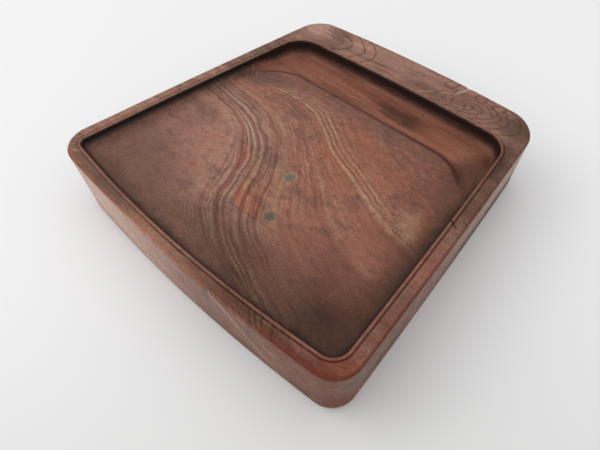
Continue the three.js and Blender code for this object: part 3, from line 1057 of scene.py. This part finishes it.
def wall_colour(g, x, y, z, bx, by, on_foot, on_right):
    """Clouded and streaked walls, paler and darker by turns, with flames down the foot wall and painted
    reflection paling the foot wall's left and the right wall's head end.
    """
    cloud = g.noise(g.vector(bx / 24, by / 14, z / 18), 4.0, 0.55)
    colour = g.tone_ramp(cloud, 0.25, 0.75, WALL_TONES)
    # Painted reflection: the foot wall turns pale pinkish grey towards its left, where its polish
    # reflects the bright floor.
    colour = g.mix(on_foot * g.rise(x, 30.0, -60.0) * 0.85, colour, linear(198, 163, 146))
    colour = g.mix(on_foot * g.rise(x, -10.0, 50.0) * 0.85, colour, linear(112, 64, 45))
    # Painted reflection: the right wall turns pale grey towards the head, as its polish reflects the
    # pale floor.
    colour = g.mix(on_right * g.rise(y, -30.0, 50.0) * 0.75, colour, linear(164, 142, 121))
    colour = g.mix(on_right * g.rise(y, 0.0, -50.0) * 0.8, colour, linear(108, 78, 58))

    streak = g.noise(g.vector((bx + z * 1.5) / 3.0, by / 20, z / 18), 4.0, 0.65)
    plain = 1.0 - on_right * 0.7
    colour = g.mix(g.rise(streak, 0.5, 0.7, 0.0, 0.25) * plain, colour, linear(196, 160, 142))
    colour = g.mix(g.rise(streak, 0.5, 0.3, 0.0, 0.3) * plain, colour, linear(104, 74, 64))

    # Bands that leave the ground run down the right of the foot wall as flames.
    wander = (g.noise(g.vector(x / 9, z / 6, 6.0), 3.0) - 0.5) * 5.0
    flame_x = x - (HEIGHT - z) * 1.15 + wander
    fade = on_foot * g.rise(z, -2.0, 8.0, 0.35, 1.0) * g.rise(x, 70.0, 56.0)
    fade = fade * g.rise(z, HEIGHT - 1.0, HEIGHT - 4.0, 0.3, 1.0)
    pale = g.seams(flame_x, 0.0, 70.0, PALE_FLAMES)
    colour = g.mix(pale * fade * 0.8, colour, linear(182, 158, 126))
    dark = g.seams(flame_x, 0.0, 70.0, DARK_FLAMES)
    colour = g.mix(dark * fade * 0.8, colour, linear(88, 56, 48))
    sway = (g.noise(g.vector(z / 9, 8.0), 2.0) - 0.5) * 3.0
    for place, half, reach in GREY_COLUMNS:
        column = g.rise(abs(x - place + sway - z * 0.1), half, half * 0.4)
        column = column * g.rise(z, reach - 3.0, reach + 3.0)
        colour = g.mix(column * on_foot * 0.65, colour, linear(100, 84, 76))
    spot = ellipse(g, x, z, (74.5, 9.0), (1.3, 1.8))
    colour = g.mix(g.rise(spot, 1.2, 0.6) * on_foot * 0.8, colour, linear(62, 62, 52))
    for centre in RIGHT_WALL_SPOTS:
        spot = ellipse(g, y, z, centre, (2.2, 1.2), -40)
        colour = g.mix(g.rise(spot, 1.2, 0.5) * on_right * 0.6, colour, linear(74, 60, 52))
    return colour


def edge_colour(g, x, y, near_top_edge, on_foot, on_right, colour):
    """Rubbing has brought the rounded top edge up to orange at the foot; the deep red beside it is
    painted shade.
    """
    patchy = g.noise(g.vector(x / 5, y / 3, 1.0), 4.0, 0.6)
    foot = near_top_edge * on_foot * g.rise(patchy, 0.35, 0.65, 0.05, 0.75)
    colour = g.mix(foot * g.rise(x, 40.0, 0.0, 0.2, 0.75), colour, linear(150, 94, 66))
    # Painted shade: a deep red line along the rounded top edge by the right side and the foot's right
    # end.
    deep_red_shade = g.high(on_right * g.rise(y, 20.0, -40.0, 0.6, 1.0), on_foot * g.rise(x, 40.0, 70.0))
    return g.mix(near_top_edge * deep_red_shade * 0.6, colour, linear(104, 48, 36))


def specks(g, x, y, z, colour):
    """Scattered dark and pale grains."""
    away, kind = g.cells(g.vector(x / 5.5, y / 5.5, z / 5.5))
    dark = g.rise(away, 0.09, 0.04) * g.rise(kind, 0.72, 0.76)
    colour = g.mix(dark * 0.7, colour, linear(66, 50, 44))
    pale = g.rise(away, 0.06, 0.02) * g.rise(kind, 0.12, 0.08)
    return g.mix(pale * 0.35, colour, linear(190, 164, 140))


def bent_bands(g, x, y, bx, by):
    """Where a point lies along the bands, and their level with its small disturbances."""
    u = (bx - by) / ROOT_TWO
    v = (bx + by) / ROOT_TWO
    level = band_level(g, u, v)
    # The bands part round a pinch left of the middle.
    pinch = g.rise(abs(u - PINCH_U), 6.5, 0.0) * g.rise(level, 2.05, 2.35) * g.rise(level, 3.1, 2.4)
    level = level + pinch * 0.2
    # The upper seams are torn where they near the right side.
    torn = g.noise(g.vector(x / 5, y / 5, 15.0), 4.0, 0.65) - 0.5
    level = level + torn * g.rise(u, 24.0, 44.0) * g.rise(level, 3.9, 4.2) * 0.5
    # All of them are a little crimped, and the lower ones most.
    crimp = g.noise(g.vector(u / 7, level * 1.5, 5.0), 2.0) - 0.5
    return u, level + crimp * g.rise(level, 2.2, 3.1, 0.22, 0.035)


def ink_and_shade_on_walls(g, x, y, z, from_mouth, uneven, basin):
    """Ink darkens the basin's walls, most of all under the bead at the left and round the pool, where
    painted shade darkens them with it.
    """
    at_left = g.rise(x, -30.0, -60.0)
    at_pool = g.rise(y, 30.0, 46.0)
    reach = 5.0 - g.high(at_left * 2.4, at_pool * 2.4)
    narrow = g.rise(from_mouth / reach + uneven * 0.9, 1.0, 0.1)
    foot_of_wall = HEIGHT - 4.4 - at_pool * 4.0
    upper_wall = g.map(z + uneven * 2.5, foot_of_wall, foot_of_wall + 2.6 + at_pool * 2.4)
    far_walls = g.high(at_left, at_pool)
    strength = g.map(far_walls * (1.0 - upper_wall), 0.0, 1.0, 0.75, 0.4)
    basin = g.mix(narrow * strength, basin, OLD_INK)
    # Painted shade with ink: the upper part of the far walls, at the left and round the pool, is
    # painted very dark.
    black_ink_and_shade = g.rise(from_mouth, 3.0, 1.5) * upper_wall * far_walls
    return g.mix(black_ink_and_shade * 0.85, basin, BLACK_INK_AND_SHADE)


# The fine grain multiplies the colour by these tints.
GRAIN_TINTS = ((0.5, 0.7, 0.55, (1.6, 1.6, 1.55, 1.0)), (0.5, 0.3, 0.55, (0.5, 0.46, 0.48, 1.0)))
SPECULAR_LEVEL = 0.22
COAT_ROUGHNESS = 0.22
BUMP_STRENGTH = 0.4
BUMP_DEPTH = 0.2


def stone_surface(g, x, y, z, on_wall, colour):
    """Fine grain in colour and relief, honed inside the basin and polished on the walls."""
    grain = g.noise(g.vector(x * 1.3, y * 1.3, z * 1.3), 3.0, 0.7)
    colour = g.mottle(grain, colour, GRAIN_TINTS, "MULTIPLY")
    shader = g.node("ShaderNodeBsdfPrincipled")
    g.feed(shader.inputs["Base Color"], colour)
    g.feed(shader.inputs["Specular IOR Level"], SPECULAR_LEVEL)
    patchy = g.noise(g.vector(x / 5, y / 5, z / 5), 4.0, 0.6)
    honed = g.rise(patchy, 0.3, 0.7, 0.5, 0.66)
    g.feed(shader.inputs["Roughness"], honed + on_wall * -0.12)
    gloss = on_wall * g.rise(patchy, 0.25, 0.65, 0.03, 0.12)
    g.feed(shader.inputs["Coat Weight"], gloss)
    g.feed(shader.inputs["Coat Roughness"], COAT_ROUGHNESS)
    bump = g.node("ShaderNodeBump")
    g.feed(bump.inputs["Strength"], BUMP_STRENGTH)
    g.feed(bump.inputs["Distance"], BUMP_DEPTH * MM)
    g.feed(bump.inputs["Height"], grain + patchy * 2.0)
    g.feed(shader.inputs["Normal"], bump.outputs[0])
    return shader


def inkstone_material():
    """The whole stone's material: basin, rim, walls and underside."""
    material = bpy.data.materials.new("banded_red_stone")
    material.use_nodes = True
    tree = material.node_tree
    tree.nodes.clear()
    g = Graph(tree)
    x, y, z = g.coordinates("Object", 1 / MM)

    # The bands wander a little, and lean as they go down through the block. Patches of colour
    # stray further, so that their outlines are ragged.
    drift = g.noise(g.vector(x / 16, y / 16, z / 16), 2.0) - 0.5
    drift_across = g.noise(g.vector(x / 11 + 40, y / 11, z / 11), 2.0) - 0.5
    bx = x + (z - GROUND_LEVEL) * BAND_LEAN + drift * 1.6
    by = y + drift_across * 1.6
    sx = x + drift * 9.0
    sy = y + drift_across * 9.0
    u, level = bent_bands(g, x, y, bx, by)

    mouth_edges = to_edges(MOUTH, x, y)
    from_mouth = to_rounded_edge(g, MOUTH, x, mouth_edges)
    to_side, to_foot, to_head = to_edges(SLAB, x, y)
    from_slab = to_rounded_edge(g, SLAB, x, (to_side, to_foot, to_head))
    on_foot = g.rise(to_side - to_foot, -3.0, 3.0) * g.rise(y, -40.0, -50.0)
    on_right = (1.0 - on_foot) * g.rise(x, 20.0, 30.0) * g.rise(to_head - to_side, -3.0, 3.0)

    # Ink gathers on the floor along the foot of the basin's walls.
    side_in, foot_in, head_in = mouth_edges
    into_basin = g.soft_low(g.soft_low(side_in, foot_in, 8.0), head_in, 8.0)
    uneven = g.noise(g.vector(x / 8, y / 8, z / 8), 4.0, 0.6) - 0.5
    wide = g.rise(into_basin + uneven * 12.0, 13.0, 2.0) * 0.6

    # Basin
    lines = band_lines(g, u, level)
    tone = ground_tone(g, x, y, level)
    ground = orange_zone(g, y, u, level, tone)
    ground = painted(g, sx, sy, ground, GROUND_PATCHES)
    ground = g.mix(wide, ground, BROWN_INK)
    ground = slanting_lines(g, x, y, banded(g, ground, lines))
    ground = ground_marks(g, x, y, ground)
    pool = g.mix(wide * 0.4, pool_colour(g, x, y, z, sx, sy), BROWN_INK)
    beyond = -to_rounded_edge(g, GROUND, x, to_edges(GROUND, x, y))
    towards_pool = g.rise(y, 24.0, 32.0)
    basin = g.mix(g.rise(beyond, -1.0, 2.0) * towards_pool, ground, pool)
    crest_line = g.rise(abs(beyond - 0.8), 2.6, 0.2) * towards_pool
    basin = g.mix(crest_line * g.rise(x, 0.0, 50.0, 0.6, 0.85), basin, linear(62, 42, 35))
    basin = ink_and_shade_on_walls(g, x, y, z, from_mouth, uneven, basin)

    # Rim and walls
    rim = rim_colour(g, x, y, z, bx, by, sx, sy, lines)
    rim = bead_and_groove(g, x, y, from_mouth, rim)
    wall = wall_colour(g, x, y, z, bx, by, on_foot, on_right)
    on_wall = g.rise(from_slab, 2.6, 1.2) * g.rise(z, HEIGHT - 0.6, HEIGHT - 1.8)
    outside = g.mix(on_wall, rim, wall)
    edge_width = 0.9 + on_foot * 1.3
    near_top_edge = g.rise(from_slab / edge_width, 1.3, 0.7) * g.rise(z, HEIGHT - 2.4, HEIGHT - 1.2)
    outside = edge_colour(g, x, y, near_top_edge, on_foot, on_right, outside)
    in_basin = g.rise(from_mouth, -0.25, 0.15)
    colour = g.mix(in_basin, outside, basin)

    # The plain underside shows the bands where they leave the block.
    underside = g.mix(0.35, banded(g, tone, lines), linear(112, 88, 78))
    colour = g.mix(g.rise(z, 1.0, 0.2), colour, underside)
    colour = specks(g, x, y, z, colour)

    shader = stone_surface(g, x, y, z, on_wall, colour)
    output = g.node("ShaderNodeOutputMaterial")
    tree.links.new(shader.outputs[0], output.inputs["Surface"])
    return material


def make_inkstone():
    """The whole stone as one piece, in place of the CAD model's one node."""
    rings = slab_rings() + rim_rings() + bead_rings() + basin_wall_rings() + floor_rings()
    middle = floor_point(np.zeros(1), np.zeros(1))[0]
    stone = closed_skin("carved_stone", rings, (0.0, 0.0, 0.0), middle)
    stone.data.materials.append(inkstone_material())
    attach(stone, "root")
    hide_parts("inkstone")


# ---------------------------------------------------------------------------------------------
# Setting

CAMERA_AZIMUTH = 46.9
CAMERA_ELEVATION = 50.22
CAMERA_ROLL = -3.16
CAMERA_TARGET = (10.43, -19.03, 0.0)
CAMERA_DISTANCE = 271.46
CAMERA_LENS = 33.62
SENSOR_WIDTH = 36.0

FLOOR_HALF = 2.0
FLOOR_TONE = linear(238, 238, 239)
FLOOR_SHADE_TONE = linear(205, 206, 203)

HORIZON_STRENGTH = 0.6
CEILING_STRENGTH = 0.97
FRONT_STRENGTH = 0.34
LAMP_PLACE = (-1.2, -0.75, 1.2)
LAMP_SIDE = 1.4
LAMP_POWER = 8.0


def make_camera():
    """The camera, by its bearing from the foot, its height angle and its roll."""
    azimuth, elevation = math.radians(CAMERA_AZIMUTH), math.radians(CAMERA_ELEVATION)
    back = Vector((
        math.sin(azimuth) * math.cos(elevation),
        -math.cos(azimuth) * math.cos(elevation),
        math.sin(elevation),
    ))
    right = (-back).cross(Vector((0, 0, 1))).normalized()
    up = right.cross(-back)
    roll = math.radians(CAMERA_ROLL)
    turned_right = math.cos(roll) * right + math.sin(roll) * up
    turned_up = -math.sin(roll) * right + math.cos(roll) * up
    place = (Vector(CAMERA_TARGET) + back * CAMERA_DISTANCE) * MM
    data = bpy.data.cameras.new("camera")
    data.lens = CAMERA_LENS
    data.sensor_width = SENSOR_WIDTH
    data.clip_start = 0.01
    camera = bpy.data.objects.new("camera", data)
    axes = Matrix((turned_right, turned_up, back)).transposed()
    camera.matrix_world = Matrix.Translation(place) @ axes.to_4x4()
    bpy.context.scene.collection.objects.link(camera)
    bpy.context.scene.camera = camera


def make_floor():
    """Pale paper, with painted shade that greys it towards the near right, where the light falls off.
    """
    corners = [(FLOOR_HALF * a, FLOOR_HALF * b, 0) for a, b in ((-1, -1), (1, -1), (1, 1), (-1, 1))]
    mesh = bpy.data.meshes.new("floor")
    mesh.from_pydata(corners, [], [(0, 1, 2, 3)])
    floor = bpy.data.objects.new("floor", mesh)
    bpy.context.scene.collection.objects.link(floor)
    material = bpy.data.materials.new("pale_floor")
    material.use_nodes = True
    g = Graph(material.node_tree)
    x, y, _ = g.coordinates("Object", 1 / MM)
    # Painted shade: the floor's colour greys towards the near right, where the light falls off.
    fall = g.rise(x * 0.75 - y * 0.7, 20.0, 280.0)
    colour = g.mix(fall, FLOOR_TONE, FLOOR_SHADE_TONE)
    shader = material.node_tree.nodes["Principled BSDF"]
    g.feed(shader.inputs["Base Color"], colour)
    shader.inputs["Roughness"].default_value = 0.6
    mesh.materials.append(material)


def make_light():
    """A soft ceiling over a dimmer horizon, more light from the foot's side, and a soft window."""
    world = bpy.data.worlds.new("soft_room")
    world.use_nodes = True
    g = Graph(world.node_tree)
    background = world.node_tree.nodes["Background"]
    x, y, upwards = g.coordinates("Generated")
    from_front = g.high(x * -0.5 + y * -0.87, 0.0)
    g.feed(background.inputs["Color"], (1.0, 1.0, 1.0, 1.0))
    strength = g.map(upwards, 0.0, 1.0, HORIZON_STRENGTH, CEILING_STRENGTH)
    g.feed(background.inputs["Strength"], strength + from_front * FRONT_STRENGTH)
    bpy.context.scene.world = world
    data = bpy.data.lights.new("window", "AREA")
    data.shape = "RECTANGLE"
    data.size = LAMP_SIDE
    data.size_y = LAMP_SIDE
    data.energy = LAMP_POWER
    lamp = bpy.data.objects.new("window", data)
    lamp.location = LAMP_PLACE
    lamp.rotation_euler = lamp.location.to_track_quat("Z", "Y").to_euler()
    bpy.context.scene.collection.objects.link(lamp)
    bpy.context.scene.view_settings.view_transform = "Standard"


make_camera()
make_floor()
make_light()
make_inkstone()
